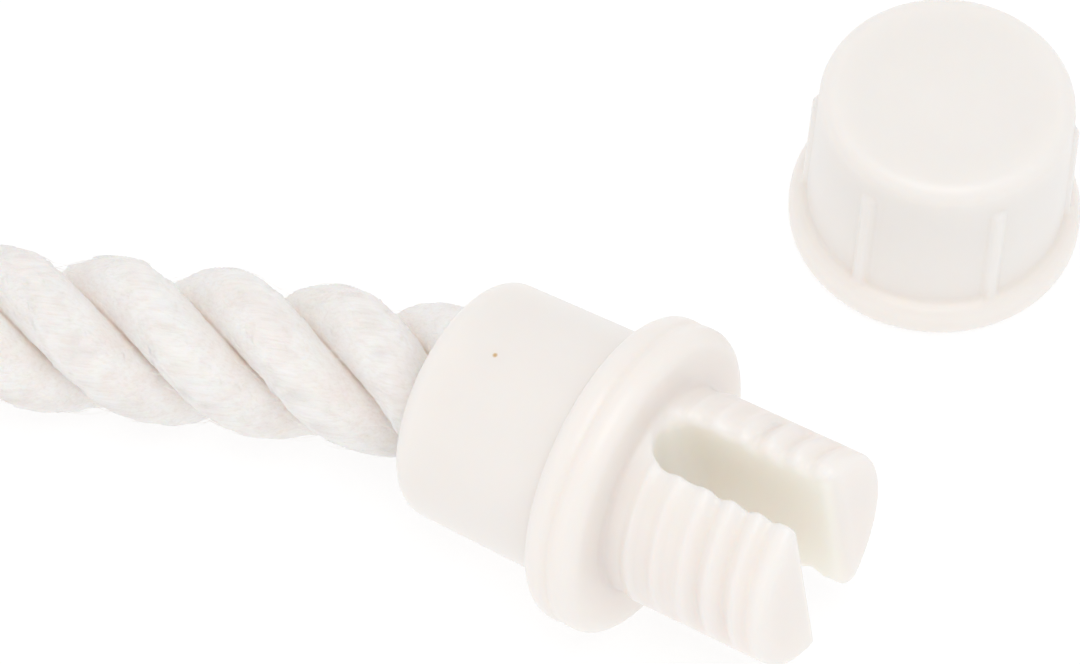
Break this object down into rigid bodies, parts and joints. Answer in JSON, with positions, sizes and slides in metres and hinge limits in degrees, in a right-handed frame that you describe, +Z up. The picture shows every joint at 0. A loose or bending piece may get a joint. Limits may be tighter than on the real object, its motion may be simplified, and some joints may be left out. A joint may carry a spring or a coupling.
{
  "type": "rope perch",
  "caption": "Flexible twisted cotton rope perch with a wire core, and at each end a glued plastic fitting whose slotted, threaded stud straddles a cage bar and takes a screw cap.",
  "frame": {"origin": "on the surface the perch lies on, under the middle of its bounding box", "axes": "+X out along the near fitting's stud and along the perch's length, the stud's tip raised 7 degrees, +Y across towards the near cap, +Z up"},
  "size_m": [0.4866, 0.1748, 0.0391],
  "materials": {
    "cotton_rope": "soft twisted cotton with fine loose fibres",
    "steel_wire": "drawn wire",
    "white_plastic": "satin moulded polypropylene, slightly translucent",
    "cloth_tape": "adhesive cloth tape",
    "set_glue": "set hot-melt glue"
  },
  "bodies": {
    "perch": {"rope": "cotton_rope", "core_wire": "steel_wire", "near_fitting": "white_plastic", "far_fitting": "white_plastic", "near_tape": "cloth_tape", "far_tape": "cloth_tape", "near_glue": "set_glue", "far_glue": "set_glue"},
    "near_cap": {"near_cap": "white_plastic"},
    "far_cap": {"far_cap": "white_plastic"}
  },
  "joints": [
    {"name": "near_cap_lift", "type": "slide", "parent": "perch", "child": "near_cap", "axis": [0, 0, 1], "range_m": [0, 0.06]},
    {"name": "far_cap_unscrew", "type": "slide", "parent": "perch", "child": "far_cap", "axis": [-1, 0, 0], "range_m": [0, 0.026]}
  ]
}
